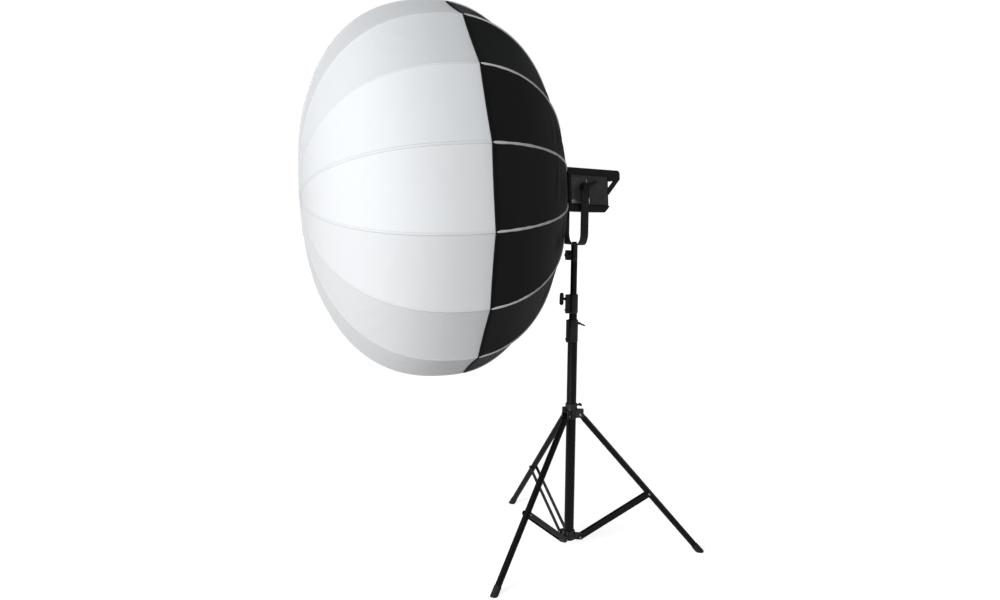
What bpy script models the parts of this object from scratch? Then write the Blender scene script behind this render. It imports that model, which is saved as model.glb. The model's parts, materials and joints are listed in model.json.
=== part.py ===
"""A lantern softbox on an LED lamp head, carried by a yoke on a three-legged light stand.

Metres, +Z up. The lantern faces -Y, and the origin is on the floor under the middle of the object's box.
The stand is laid out round its own column, and the lamp head round its tilt pivot. Two empties then place
them: "rig" sets the column back from the origin, and "head" tips the head a little nose-down.
"""

import math

import bmesh
import bpy
from mathutils import Matrix, Vector

GAP = 0.0003  # between pieces that touch
RUNNING = 0.0005  # round a shaft that turns

# The lantern's outline, along its own axis from the tilt pivot (front is negative)
LANTERN_RADIUS = 0.600
LANTERN_WIDEST = -0.495
LANTERN_FRONT = -0.932
LANTERN_REAR = -0.0925
FRONT_POWER = 2.45  # 2 would be an ellipse; more is squarer
REAR_POWER = 2.03
COVER_EDGE = 0.0818  # how far behind the widest section white meets black, in radians
COVER_THICKNESS = 0.0012
COVER_SLACK = 0.006  # how far a gore pulls in between two ribs, over its chord, as a share of the radius
RIB_COUNT = 16
RIB_STEP = 2 * math.pi / RIB_COUNT
RIB_RADIUS = 0.0025
RIB_INSET = 0.0075
RIB_POINTS = 12

# The rings where the softbox meets the lamp
RING_BACK, RING_FRONT = -0.0675, -0.1134
RING_OUTER, RING_BORE = 0.083, 0.0492
RIM_RADIUS = 0.086
HUB_RADIUS = 0.036
BAYONET_TWIST = math.radians(40)

# The lamp head, round its tilt pivot
HEAD_HEIGHT = 1.297
NOSE_DOWN = math.radians(3)
LAMP_FRONT, LAMP_REAR = -0.056, 0.088
LAMP_HALF = 0.0755
GRILLE_OUTER = 0.0805
HANDLE_HALF = 0.0785
TOP_SLOPE, BOTTOM_SLOPE = -0.098, -0.085
BAR_THICKNESS = 0.0225
RAIL_THICKNESS = 0.0235
SHEET = 0.003
CONTROL_ROW = -0.0400  # the height of the knob, switch and socket on the rear panel

# The yoke
ARM_INNER, ARM_THICKNESS, ARM_HALF = 0.0865, 0.005, 0.0135
YOKE_BOTTOM = 1.1003
YOKE_CORNER = 0.040

# The stand
COLUMN_RADIUS, MID_RADIUS, TOP_RADIUS = 0.0175, 0.0143, 0.0117
TUBE_WALL = 0.0013
LEG_AZIMUTHS = [math.radians(angle) for angle in (-51, 69, 189)]
LEG_PIVOT_RADIUS, LEG_PIVOT_HEIGHT = 0.034, 0.493
LEG_SPREAD = math.radians(41.7)
LEG_RADIUS = 0.011
FOOT_RADIUS = 0.0125
SPIDER_PIVOT_RADIUS, SPIDER_PIVOT_HEIGHT = 0.042, 0.040
BRACE_SHARE = 0.571  # how far down the leg the brace is riveted
STRAP_INNER, STRAP_THICKNESS, STRAP_HALF = 0.0118, 0.0028, 0.0085
PIN_RADIUS = 0.003

LEG_LENGTH = LEG_PIVOT_HEIGHT / math.cos(LEG_SPREAD)
FOOT_REACH = LEG_PIVOT_RADIUS + LEG_PIVOT_HEIGHT * math.tan(LEG_SPREAD)
FRONT_REACH = -LANTERN_FRONT * math.cos(NOSE_DOWN)
BACK_REACH = FOOT_REACH * math.sin(LEG_AZIMUTHS[1])
COLUMN_Y = (FRONT_REACH - BACK_REACH) / 2

FACING = {
    "X": Matrix.Rotation(math.pi / 2, 4, "Y"),
    "Y": Matrix.Rotation(-math.pi / 2, 4, "X"),
    "Z": Matrix.Identity(4),
}


# Shapes


def finished(bm):
    bmesh.ops.recalc_face_normals(bm, faces=bm.faces)
    mesh = bpy.data.meshes.new("shape")
    bm.to_mesh(mesh)
    bm.free()
    return mesh


def prism(outline, low, high, axis="X", bevel=0.0):
    """A flat outline pushed from low to high along an axis. Its pairs run along the other two axes."""
    bm = bmesh.new()
    order = {"X": (2, 0, 1), "Y": (0, 2, 1), "Z": (0, 1, 2)}[axis]
    start = [bm.verts.new([(u, v, low)[i] for i in order]) for u, v in outline]
    pushed = bmesh.ops.extrude_face_region(bm, geom=[bm.faces.new(start)])["geom"]
    far = [part for part in pushed if isinstance(part, bmesh.types.BMVert)]
    bmesh.ops.translate(bm, verts=far, vec=Vector([(0, 0, high - low)[i] for i in order]))
    if bevel:
        bmesh.ops.bevel(bm, geom=bm.edges[:], offset=bevel, segments=1, affect="EDGES")
    return finished(bm)


def block(low, high, bevel=0.0):
    corners = [(low[0], low[1]), (high[0], low[1]), (high[0], high[1]), (low[0], high[1])]
    return prism(corners, low[2], high[2], "Z", bevel)


def turned(profile, axis="Z", at=(0, 0, 0), steps=20, ring=False):
    """Turn (radius, height) points round an axis. A ring's profile closes on itself, and any other starts
    and ends on the axis."""
    bm = bmesh.new()
    points = [bm.verts.new((radius, 0, height)) for radius, height in profile]
    edges = [bm.edges.new(pair) for pair in zip(points, points[1:])]
    if ring:
        edges.append(bm.edges.new((points[-1], points[0])))
    bmesh.ops.spin(bm, geom=points + edges, axis=(0, 0, 1), cent=(0, 0, 0), angle=2 * math.pi,
                   steps=steps, use_merge=True)
    bmesh.ops.remove_doubles(bm, verts=bm.verts, dist=1e-6)
    mesh = finished(bm)
    mesh.transform(Matrix.Translation(at) @ FACING[axis])
    return mesh


def rod(radius, low, high, axis="Z", at=(0, 0, 0), steps=16):
    return turned([(0, low), (radius, low), (radius, high), (0, high)], axis, at, steps)


def washer(inner, outer, low, high, axis="Z", at=(0, 0, 0), steps=20):
    return turned([(inner, low), (outer, low), (outer, high), (inner, high)], axis, at, steps, ring=True)


def arc(centre, radius, start, end, steps):
    """Points on an arc, with its angles in degrees."""
    angles = [math.radians(start + (end - start) * i / steps) for i in range(steps + 1)]
    return [(centre[0] + radius * math.cos(a), centre[1] + radius * math.sin(a)) for a in angles]


def stadium(start, end, radius, steps=6):
    """The outline of a bar with round ends."""
    along = math.degrees(math.atan2(end[1] - start[1], end[0] - start[0]))
    return arc(end, radius, along - 90, along + 90, steps) + arc(start, radius, along + 90, along + 270, steps)


def around(mesh, angle):
    copy = mesh.copy()
    copy.transform(Matrix.Rotation(angle, 4, "Z"))
    return copy


def combined(operation, base, *others):
    for other in others:
        pair = [bpy.data.objects.new("work", mesh) for mesh in (base, other)]
        for obj in pair:
            bpy.context.scene.collection.objects.link(obj)
        boolean = pair[0].modifiers.new("combine", "BOOLEAN")
        boolean.operation = operation
        boolean.object = pair[1]
        graph = bpy.context.evaluated_depsgraph_get()
        base = bpy.data.meshes.new_from_object(pair[0].evaluated_get(graph))
        for obj in pair:
            bpy.data.objects.remove(obj)
    return base


def joined(base, *others):
    return combined("UNION", base, *others)


def cut(base, *others):
    return combined("DIFFERENCE", base, *others)


# Objects


def material(name, colour, roughness, metallic=0.0):
    made = bpy.data.materials.new(name)
    made.use_nodes = True
    shader = made.node_tree.nodes["Principled BSDF"]
    shader.inputs["Base Color"].default_value = (*colour, 1.0)
    shader.inputs["Roughness"].default_value = roughness
    shader.inputs["Metallic"].default_value = metallic
    made.diffuse_color = (*colour, 1.0)
    return made


MATERIALS = {
    "white_cloth": material("white_cloth", (0.86, 0.88, 0.90), 0.85),
    "black_cloth": material("black_cloth", (0.012, 0.012, 0.014), 0.8),
    "fibreglass": material("fibreglass", (0.60, 0.60, 0.56), 0.5),
    "black_plastic": material("black_plastic", (0.018, 0.018, 0.019), 0.55),
    "ring_plastic": material("ring_plastic", (0.025, 0.025, 0.027), 0.5),
    "lamp_casing": material("lamp_casing", (0.020, 0.020, 0.021), 0.5, 0.3),
    "lamp_mesh": material("lamp_mesh", (0.045, 0.045, 0.047), 0.55, 0.5),
    "bare_aluminium": material("bare_aluminium", (0.60, 0.60, 0.62), 0.4, 0.9),
    "emitter": material("emitter", (0.85, 0.72, 0.20), 0.4),
    "steel_bayonet": material("steel_bayonet", (0.55, 0.55, 0.57), 0.3, 1.0),
    "yoke_paint": material("yoke_paint", (0.018, 0.018, 0.020), 0.45, 0.3),
    "stand_tube": material("stand_tube", (0.010, 0.010, 0.011), 0.3, 0.3),
    "stand_casting": material("stand_casting", (0.012, 0.012, 0.013), 0.55, 0.2),
    "foot_rubber": material("foot_rubber", (0.010, 0.010, 0.010), 0.85),
}


def empty(name, parent=None, place=Matrix.Identity(4)):
    made = bpy.data.objects.new(name, None)
    bpy.context.scene.collection.objects.link(made)
    made.parent = parent
    made.matrix_local = place
    return made


def node(name, mesh, slot, parent, place=Matrix.Identity(4)):
    """A named piece. Round faces are shaded smooth, and edges over 35 degrees stay sharp."""
    mesh = mesh.copy()
    mesh.name = name
    mesh.materials.clear()
    mesh.materials.append(MATERIALS[slot])
    mesh.shade_smooth()
    mesh.set_sharp_from_angle(angle=math.radians(35))
    made = bpy.data.objects.new(name, mesh)
    bpy.context.scene.collection.objects.link(made)
    made.parent = parent
    made.matrix_local = place
    return made


# Softbox


def meridian(angle, inset=0.0):
    """(place along the axis, radius) of the cover's outside, from 0 at the front pole to pi at the rear,
    or of a line this far inside it."""
    def outside(at):
        front = at < math.pi / 2
        depth = LANTERN_WIDEST - LANTERN_FRONT if front else LANTERN_REAR - LANTERN_WIDEST
        power = 2 / (FRONT_POWER if front else REAR_POWER)
        along = math.copysign(depth * abs(math.cos(at)) ** power, -math.cos(at))
        return Vector((LANTERN_WIDEST + along, LANTERN_RADIUS * max(math.sin(at), 0) ** power))

    if not inset:
        return outside(angle)
    tangent = (outside(angle + 0.004) - outside(angle - 0.004)).normalized()
    return outside(angle) + inset * Vector((tangent.y, -tangent.x))


def gore_point(angle, column):
    """A point of the cover. Even columns lie on ribs, and odd ones on the middle of a gore."""
    along, radius = meridian(angle)
    if column % 2:
        radius *= math.cos(RIB_STEP / 2) * (1 - COVER_SLACK * math.sin(angle))
    turn = RIB_STEP * (column + 1) / 2
    return radius * math.cos(turn), along, radius * math.sin(turn)


def cover(name, slot, angles, parent):
    """Gores sewn edge to edge, as one closed skin of the cloth's thickness."""
    bm = bmesh.new()
    rows = [[bm.verts.new(gore_point(angle, column)) for column in range(2 * RIB_COUNT)]
            for angle in angles if angle > 0]
    for row, below in zip(rows, rows[1:]):
        for i in range(2 * RIB_COUNT):
            bm.faces.new((row[i], row[i - 1], below[i - 1], below[i]))
    if angles[0] == 0:
        pole = bm.verts.new((0, LANTERN_FRONT, 0))
        for i in range(2 * RIB_COUNT):
            bm.faces.new((pole, rows[0][i - 1], rows[0][i]))
    made = node(name, finished(bm), slot, parent)
    skin = made.modifiers.new("cloth", "SOLIDIFY")
    skin.thickness = COVER_THICKNESS
    skin.offset = -1
    skin.use_even_offset = True
    return made


def spaced(start, end, count):
    return [start + (end - start) * i / (count - 1) for i in range(count)]


def build_covers(parent):
    edge = math.pi / 2 + COVER_EDGE
    parting = 0.0007
    rear = math.pi - math.asin((RIM_RADIUS / LANTERN_RADIUS) ** (REAR_POWER / 2))
    cover("white_diffuser", "white_cloth", [0] + spaced(0.10, edge - parting, 11), parent)
    cover("black_skirt", "black_cloth", spaced(edge + parting, rear, 9), parent)


def build_ribs(parent):
    """Sixteen bowed rods, from the speed ring's groove to the front hub's."""
    front = math.asin((0.031 / LANTERN_RADIUS) ** (FRONT_POWER / 2))
    rear = math.pi - math.asin((0.0775 / LANTERN_RADIUS) ** (REAR_POWER / 2))
    line = bpy.data.curves.new("rib_line", "CURVE")
    line.dimensions = "3D"
    line.bevel_depth = RIB_RADIUS
    line.bevel_resolution = 1
    line.use_fill_caps = True
    spline = line.splines.new("POLY")
    spline.points.add(RIB_POINTS - 1)
    for point, angle in zip(spline.points, spaced(front, rear, RIB_POINTS)):
        along, radius = meridian(angle, RIB_INSET)
        point.co = (radius, along, 0, 1)
    line.materials.append(MATERIALS["fibreglass"])
    for i in range(RIB_COUNT):
        rib = bpy.data.objects.new(f"rib_{i + 1:02d}", line)
        bpy.context.scene.collection.objects.link(rib)
        rib.parent = parent
        rib.matrix_local = Matrix.Rotation(-RIB_STEP * (i + 0.5), 4, "Y")


def grooved(outer, bore, low, high, groove_low, groove_high, depth, steps):
    """A ring along Y with a groove round its rim, which holds the ribs' ends."""
    rim = [(outer, low), (outer, groove_low), (outer - depth, groove_low), (outer - depth, groove_high),
           (outer, groove_high), (outer, high)]
    if bore:
        return turned([(bore, low), *rim, (bore, high)], "Y", steps=steps, ring=True)
    return turned([(0, low), *rim, (0, high)], "Y", steps=steps)


def sector(low, high, inner, outer, middle, width, steps=4):
    """Part of a ring along Y, as wide as this angle, in degrees."""
    start, end = middle - width / 2, middle + width / 2
    outline = arc((0, 0), outer, start, end, steps) + arc((0, 0), inner, end, start, steps)
    return prism(outline, low, high, "Y")


def build_softbox(head):
    softbox = empty("softbox", head)
    build_covers(softbox)
    build_ribs(softbox)
    hub = grooved(HUB_RADIUS, 0, -0.9295, -0.9168, -0.9275, -0.9212, 0.008, 24)
    node("front_hub", hub, "black_plastic", softbox)
    ring = grooved(RING_OUTER, RING_BORE, RING_FRONT, RING_BACK, -0.1079, -0.0989, 0.009, 32)
    node("speed_ring", ring, "ring_plastic", softbox)
    barrel = washer(0.0435, 0.0485, -0.0860, -0.0578, "Y", steps=32)
    lugs = [sector(-0.0628, -0.0580, 0.0470, 0.0512, middle, 30) for middle in (90, 210, 330)]
    node("bayonet_insert", joined(barrel, *lugs), "steel_bayonet", softbox)


# Lamp head


def bar_top(y):
    return 0.0705 + TOP_SLOPE * (y - LAMP_FRONT)


def bar_under(y):
    return bar_top(y) - BAR_THICKNESS


def rail_under(y):
    return -0.0765 + BOTTOM_SLOPE * (y - LAMP_FRONT)


def rail_top(y):
    return rail_under(y) + RAIL_THICKNESS


def side_outline(front, rear, margin):
    """The lamp's side between its top bar and its bottom rail, kept this far from both."""
    return [(front, rail_top(front) + margin), (rear, rail_top(rear) + margin),
            (rear, bar_under(rear) - margin), (front, bar_under(front) - margin)]


def build_casing(head):
    inner_rear = LAMP_REAR - SHEET - 2 * GAP
    outline = side_outline(LAMP_FRONT, inner_rear, GAP)
    hollow = side_outline(LAMP_FRONT + SHEET, LAMP_REAR + SHEET, SHEET + GAP)
    shell = cut(prism(outline, -LAMP_HALF, LAMP_HALF), prism(hollow, -2 * LAMP_HALF, 2 * LAMP_HALF),
                rod(0.038, LAMP_FRONT - SHEET, LAMP_FRONT + 2 * SHEET, "Y", steps=24))
    node("lamp_housing", shell, "lamp_casing", head)
    panel = prism(side_outline(LAMP_REAR - SHEET, LAMP_REAR, GAP), -LAMP_HALF, LAMP_HALF)
    socket = block((-0.0115, LAMP_REAR - 0.01, CONTROL_ROW - 0.0078),
                   (0.0115, LAMP_REAR + 0.01, CONTROL_ROW + 0.0078))
    node("rear_panel", cut(panel, socket), "lamp_casing", head)
    for side, name in ((1, "side_grille_right"), (-1, "side_grille_left")):
        low, high = sorted((side * (LAMP_HALF + GAP), side * GRILLE_OUTER))
        grille = prism(side_outline(LAMP_FRONT + 0.001, LAMP_REAR - 0.001, 0.0008), low, high, bevel=0.0008)
        node(name, grille, "lamp_mesh", head)


def build_handle(head):
    """The top bar runs back past the rear panel and turns down to it. A finger gap goes across it, and the
    slanting plate has a window between two struts."""
    back = LAMP_REAR + GAP
    top_end, corner_y, strut = 0.127, 0.1325, 0.012
    slant_top, slant_foot = Vector((corner_y, 0.0225)), Vector((0.0895, -0.0287))
    along = (slant_top - slant_foot).normalized()
    inner = slant_foot + 0.0135 * Vector((-along.y, along.x))
    rise = along.y / along.x
    gusset, web = 0.0205, back + 0.0022
    meet = inner.x + (gusset - inner.y) / rise
    outline = [(LAMP_FRONT, bar_top(LAMP_FRONT)), (top_end, bar_top(top_end)), (corner_y, 0.044), slant_top,
               slant_foot, (back, slant_foot.y), (back, inner.y + rise * (back - inner.x)),
               (meet, gusset), (web, gusset), (web, bar_under(web)), (LAMP_FRONT, bar_under(LAMP_FRONT))]
    bar = prism([tuple(point) for point in outline], -HANDLE_HALF, HANDLE_HALF)
    window = block((strut - HANDLE_HALF, back - 0.01, -0.0160),
                   (HANDLE_HALF - strut, corner_y + 0.01, gusset - 0.0022))
    node("top_handle", cut(bar, window), "black_plastic", head)
    rear = 0.0745
    rail = [(LAMP_FRONT, rail_under(LAMP_FRONT)), (rear, rail_under(rear)), (0.0875, -0.0745), (0.0930, -0.0660),
            (LAMP_REAR, rail_top(LAMP_REAR)), (LAMP_FRONT, rail_top(LAMP_FRONT))]
    node("bottom_rail", prism(rail, -HANDLE_HALF, HANDLE_HALF, bevel=0.0012), "black_plastic", head)


def build_insides(head):
    fins, pitch, depth = 9, 0.0118, 0.060
    comb = [(-0.050, -0.040), (0.050, -0.040)]
    for i in range(fins):
        right = 0.050 - pitch * i
        comb += [(right, depth - 0.040), (right - 0.0022, depth - 0.040), (right - 0.0022, -0.035),
                 (right - pitch, -0.035)]
    comb = comb[:-2] + [(-0.050, depth - 0.040)]
    node("heat_sink", prism(comb, -0.040, 0.036, "Z"), "bare_aluminium", head)
    node("led_emitter", rod(0.018, -0.0465, -0.0403, "Y", steps=20), "emitter", head)
    hub = rod(0.014, -0.007, 0.007, "Y")
    blade = block((-0.001, -0.006, 0.012), (0.001, 0.006, 0.034))
    blade.transform(Matrix.Rotation(math.radians(35), 4, "Z"))
    blades = []
    for i in range(7):
        copy = blade.copy()
        copy.transform(Matrix.Rotation(2 * math.pi * i / 7, 4, "Y"))
        blades.append(copy)
    fan = empty("fan_axle", head, Matrix.Translation((0, 0.048, -0.004)))
    node("fan_rotor", joined(hub, *blades), "black_plastic", fan)


def build_controls(head):
    row = CONTROL_ROW
    face = LAMP_REAR + GAP
    knob = turned([(0, 0), (0.0092, 0), (0.0092, 0.0075), (0.0082, 0.0105), (0, 0.0105)], "Y")
    node("dimmer_knob", knob, "black_plastic", head, Matrix.Translation((0.034, face, row)))
    rocker = prism([(0.0013, -0.0068), (0.0042, -0.0068), (0.0031, 0), (0.0042, 0.0068), (0.0013, 0.0068)],
                   -0.0048, 0.0048)
    tip = Matrix.Translation((-0.034, face, row)) @ Matrix.Rotation(math.radians(-8), 4, "X")
    node("power_switch", rocker, "black_plastic", head, tip)
    flange = block((-0.0135, face, row - 0.0098), (0.0135, face + 0.0030, row + 0.0098), 0.0008)
    body = block((-0.0112, face - 0.0130, row - 0.0075), (0.0112, face + 0.0010, row + 0.0075))
    pocket = block((-0.0095, face - 0.0110, row - 0.0058), (0.0095, face + 0.0100, row + 0.0058))
    node("power_inlet", cut(joined(flange, body), pocket), "black_plastic", head)
    latch = prism([(-0.006, -0.006), (0.006, -0.006), (0.006, 0.006), (-0.006, 0.006)], -0.0047, 0, bevel=0.0009)
    node("release_latch", latch, "black_plastic", head, Matrix.Translation((-GRILLE_OUTER - GAP, -0.045, 0)))


def build_pivots(head):
    """A friction disc on each side of the lamp, with a shaft through the yoke's arm."""
    disc, shaft, shaft_end = 0.0175, 0.0051, ARM_INNER + ARM_THICKNESS + 0.0003
    start = GRILLE_OUTER + GAP
    profile = [(0, start), (disc, start), (disc, ARM_INNER - GAP), (shaft, ARM_INNER - GAP), (shaft, shaft_end)]
    right = turned([*profile, (0, shaft_end)], "X", steps=24)
    node("tilt_pivot_right", right, "stand_casting", head)
    cap = shaft_end + 0.0034
    left = turned([*profile, (0.0095, shaft_end), (0.0095, cap), (0, cap)], "X", steps=24)
    left.transform(Matrix.Rotation(math.pi, 4, "Z"))
    node("tilt_pivot_left", left, "stand_casting", head)


def build_bayonet(head):
    """The lamp's half of the bayonet. Its lip has three slots, which line up with the softbox's lugs only
    after the release twist."""
    lip = 0.0498
    profile = [(0.060, LAMP_FRONT - GAP), (0.060, -0.0664), (lip, -0.0664), (lip, -0.0637), (0.0525, -0.0637),
               (0.0525, LAMP_FRONT - GAP)]
    ring = turned(profile, "Y", steps=32, ring=True)
    release = math.degrees(BAYONET_TWIST)
    slots = [sector(-0.068, -0.0632, 0.045, 0.0518, middle - release, 34) for middle in (90, 210, 330)]
    node("bayonet_mount", cut(ring, *slots), "steel_bayonet", head)


def build_lamp(head):
    build_casing(head)
    build_handle(head)
    build_insides(head)
    build_controls(head)
    build_pivots(head)
    build_bayonet(head)


# Yoke


def yoke_bar():
    """A flat bar bent into a U, with round tops and holes for the pivots and the receiver's bolt."""
    outer, top = ARM_INNER + ARM_THICKNESS, HEAD_HEIGHT + ARM_HALF
    bend_x, bend_z = outer - YOKE_CORNER, YOKE_BOTTOM + YOKE_CORNER
    inner_bend = YOKE_CORNER - ARM_THICKNESS
    outline = [(-outer, top)] + arc((-bend_x, bend_z), YOKE_CORNER, 180, 270, 6)
    outline += arc((bend_x, bend_z), YOKE_CORNER, 270, 360, 6) + [(outer, top), (ARM_INNER, top)]
    outline += arc((bend_x, bend_z), inner_bend, 360, 270, 6) + arc((-bend_x, bend_z), inner_bend, 270, 180, 6)
    outline += [(-ARM_INNER, top)]
    bar = prism(outline, -ARM_HALF, ARM_HALF, "Y")
    bm = bmesh.new()
    bm.from_mesh(bar)
    tops = [edge for edge in bm.edges if all(abs(v.co.z - top) < 1e-5 for v in edge.verts)
            and abs(edge.verts[0].co.y - edge.verts[1].co.y) < 1e-5]
    bmesh.ops.bevel(bm, geom=tops, offset=ARM_HALF - 0.0002, segments=4, profile=0.5, affect="EDGES")
    return cut(finished(bm), rod(0.0056, -0.1, 0.1, "X", (0, 0, HEAD_HEIGHT)),
               rod(0.0063, YOKE_BOTTOM - 0.01, YOKE_BOTTOM + 0.02))


def hexagon(radius, low, high):
    return prism(arc((0, 0), radius, 0, 300, 5), low, high, "Z")


def build_yoke(top_section):
    yoke = empty("yoke", top_section)
    node("yoke_bracket", yoke_bar(), "yoke_paint", yoke)
    floor = YOKE_BOTTOM + ARM_THICKNESS + GAP
    under = YOKE_BOTTOM - GAP
    body = turned([(0, floor + 0.004), (0.005, floor + 0.004), (0.005, under), (0.0118, under),
                   (0.0118, 1.0460), (0.0112, 1.0436), (0.0083, 1.0436), (0.0083, 1.0920), (0, 1.0920)])
    node("spigot_receiver", joined(body, hexagon(0.0088, floor, floor + 0.0055)), "stand_casting", yoke)

    stem = rod(0.0042, -0.008, 0, "Y")
    lobes = [(0.0172 + 0.0026 * math.cos(6 * a)) for a in spaced(0, 2 * math.pi, 37)[:-1]]
    outline = [(r * math.cos(a), r * math.sin(a)) for r, a in zip(lobes, spaced(0, 2 * math.pi, 37))]
    head = prism(outline, -0.0175, -0.0035, "Y")
    node("receiver_knob", joined(stem, head), "black_plastic", yoke, Matrix.Translation((0, -0.0122, 1.0640)))

    lever_hub = rod(0.0110, 0, 0.0085, "X", steps=20)
    reach = (0.037 * math.cos(math.radians(29)), 0.037 * math.sin(math.radians(29)))
    arm = prism(stadium((0, 0), reach, 0.0052), 0.0035, 0.0085)
    start = ARM_INNER + ARM_THICKNESS + 2 * GAP
    node("tilt_lock_lever", joined(lever_hub, arm), "black_plastic", yoke,
         Matrix.Translation((start, 0, HEAD_HEIGHT)))
    return yoke


# Stand


def build_tubes(rig):
    """The column and the two sections inside it, each with a bush at its foot. Returns the top section."""
    column = washer(COLUMN_RADIUS - TUBE_WALL, COLUMN_RADIUS, 0.0260, 0.7990, steps=24)
    node("column_tube", column, "stand_tube", rig)
    mid_section = empty("mid_section", rig)
    bore, bush = MID_RADIUS - TUBE_WALL, COLUMN_RADIUS - TUBE_WALL - GAP
    mid = turned([(bore, 0.0600), (bush, 0.0600), (bush, 0.0760), (MID_RADIUS, 0.0760), (MID_RADIUS, 0.9040),
                  (bore, 0.9040)], steps=24, ring=True)
    node("mid_tube", mid, "stand_tube", mid_section)
    top_section = empty("top_section", mid_section)
    shoulder, spigot, inner = 1.0432, 0.0079, TOP_RADIUS - TUBE_WALL
    bush = bore - GAP
    top = turned([(0, 1.0900), (0.0066, 1.0900), (spigot, 1.0880), (spigot, shoulder), (TOP_RADIUS, shoulder),
                  (TOP_RADIUS, 0.1750), (bush, 0.1750), (bush, 0.1600), (inner, 0.1600), (inner, 1.0300),
                  (0, 1.0300)])
    node("top_tube", top, "stand_tube", top_section)
    return mid_section, top_section


def clamp(low, high, barrel, flange_reach, flange_half, wide_bore, step, narrow_bore, bolt_height):
    """A split collar: a barrel, a clamping flange towards -Y with its slot and bolt, and a stepped bore."""
    chamfer = 0.0025
    outside = turned([(0, low), (barrel - chamfer, low), (barrel, low + 2 * chamfer), (barrel, high - chamfer),
                      (barrel - chamfer, high), (0, high)], steps=24)
    flange = block((-flange_half, -flange_reach, low + 0.001), (flange_half, 0, high - 0.001), 0.001)
    bolt = rod(0.0038, -flange_reach - 0.003, -flange_reach + 0.003, "Y", (0, 0, bolt_height), 10)
    slot = block((-0.0009, -flange_reach + 0.0045, low - 0.01), (0.0009, 0, high + 0.01))
    bores = [rod(wide_bore, low - 0.01, step, steps=24), rod(narrow_bore, low, high + 0.01, steps=24)]
    return cut(joined(outside, flange, bolt), slot, *bores)


def build_upper_clamp(mid_section):
    collar = clamp(0.8573, 0.9263, 0.0168, 0.0285, 0.0070, MID_RADIUS + GAP, 0.9044, TOP_RADIUS + GAP, 0.8700)
    node("upper_collar", collar, "stand_casting", mid_section)
    stem = rod(0.0052, -0.012, 0, "Y", steps=12)
    bar = prism(stadium((-0.0160, -0.0160), (-0.0150, 0.0160), 0.0062), -0.0062, 0.0062, bevel=0.0015)
    node("upper_collar_knob", joined(stem, bar), "black_plastic", mid_section,
         Matrix.Translation((0, -0.0288, 0.9100)))


def build_lower_clamp(rig):
    """Its cam lever sits between two ears on the +Y side, on a pin of the collar's."""
    collar = clamp(0.7535, 0.8365, 0.0187, 0.0240, 0.0062, COLUMN_RADIUS + GAP, 0.7995, MID_RADIUS + GAP, 0.7660)
    hinge_y, hinge_z = 0.0235, 0.8220
    ears = [prism(stadium((0.0200, hinge_z), (hinge_y, hinge_z), 0.0045), low, high)
            for low, high in ((-0.0070, -0.0042), (0.0042, 0.0070))]
    pin = rod(0.0016, -0.0070, 0.0070, "X", (0, hinge_y, hinge_z), 10)
    node("lower_collar", joined(collar, *ears, pin), "stand_casting", rig)
    tip = (0.0190, -0.0085)
    lever = prism(stadium((0, 0), tip, 0.0030), -0.0038, 0.0038)
    paddle = prism(stadium((0.0090, -0.0040), tip, 0.0022), -0.0070, 0.0070)
    lever = cut(joined(lever, paddle), rod(0.0021, -0.01, 0.01, "X", steps=10))
    node("lower_collar_lever", lever, "black_plastic", rig, Matrix.Translation((0, hinge_y, hinge_z)))


def build_leg_collar(rig):
    """The sliding collar, with a channel for each leg's tongue and a pin across it."""
    sliding = empty("leg_collar_slide", rig)
    low, high, barrel = 0.4790, 0.5340, 0.0215
    body = turned([(0, low), (barrel - 0.002, low), (barrel, low + 0.004), (barrel, high - 0.002),
                   (barrel - 0.002, high), (0, high)], steps=24)
    lug = block((0.0150, -0.0132, 0.4825), (0.0445, 0.0132, 0.5120), 0.0015)
    channel = block((0.0236, -0.0098, 0.4700), (0.0500, 0.0098, 0.5088))
    pin = joined(rod(PIN_RADIUS, -0.0145, 0.0145, "Y"), rod(0.0055, -0.0150, -0.0128, "Y", steps=12),
                 rod(0.0055, 0.0128, 0.0150, "Y", steps=12))
    pin.transform(Matrix.Translation((LEG_PIVOT_RADIUS, 0, LEG_PIVOT_HEIGHT)))
    nut = rod(0.0048, -0.0330, -0.0190, "Y", (0, 0, 0.5160), 6)
    body = joined(body, nut, *[around(lug, a) for a in LEG_AZIMUTHS])
    body = cut(body, *[around(channel, a) for a in LEG_AZIMUTHS])
    body = joined(body, *[around(pin, a) for a in LEG_AZIMUTHS])
    body = cut(body, rod(COLUMN_RADIUS + RUNNING, low - 0.01, high + 0.01, steps=24))
    node("leg_collar", body, "stand_casting", sliding)
    stem = rod(0.0034, 0, 0.0110, "Y", steps=10)
    wings = prism(stadium((-0.0075, 0), (0.0075, 0), 0.0045), 0.0100, 0.0145, "Y")
    node("leg_collar_screw", joined(stem, wings), "black_plastic", sliding,
         Matrix.Translation((0, barrel + GAP, 0.5260)))
    return sliding


def build_spider(rig):
    lug = prism([(0.0150, 0.0300), (0.0465, 0.0300), (0.0505, 0.0340), (0.0505, 0.0460), (0.0465, 0.0500),
                 (0.0150, 0.0500)], -0.0103, 0.0103, "Y")
    hole = rod(PIN_RADIUS + RUNNING, -0.03, 0.03, "Y", (SPIDER_PIVOT_RADIUS, 0, SPIDER_PIVOT_HEIGHT), 12)
    barrel = turned([(0, 0.0290), (0.0225, 0.0290), (0.0225, 0.0590), (0.0205, 0.0620), (0, 0.0620)], steps=24)
    body = joined(barrel, *[around(lug, a) for a in LEG_AZIMUTHS])
    body = cut(body, rod(COLUMN_RADIUS + GAP, 0, 0.1, steps=24), *[around(hole, a) for a in LEG_AZIMUTHS])
    node("spider", body, "stand_casting", rig)


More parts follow.
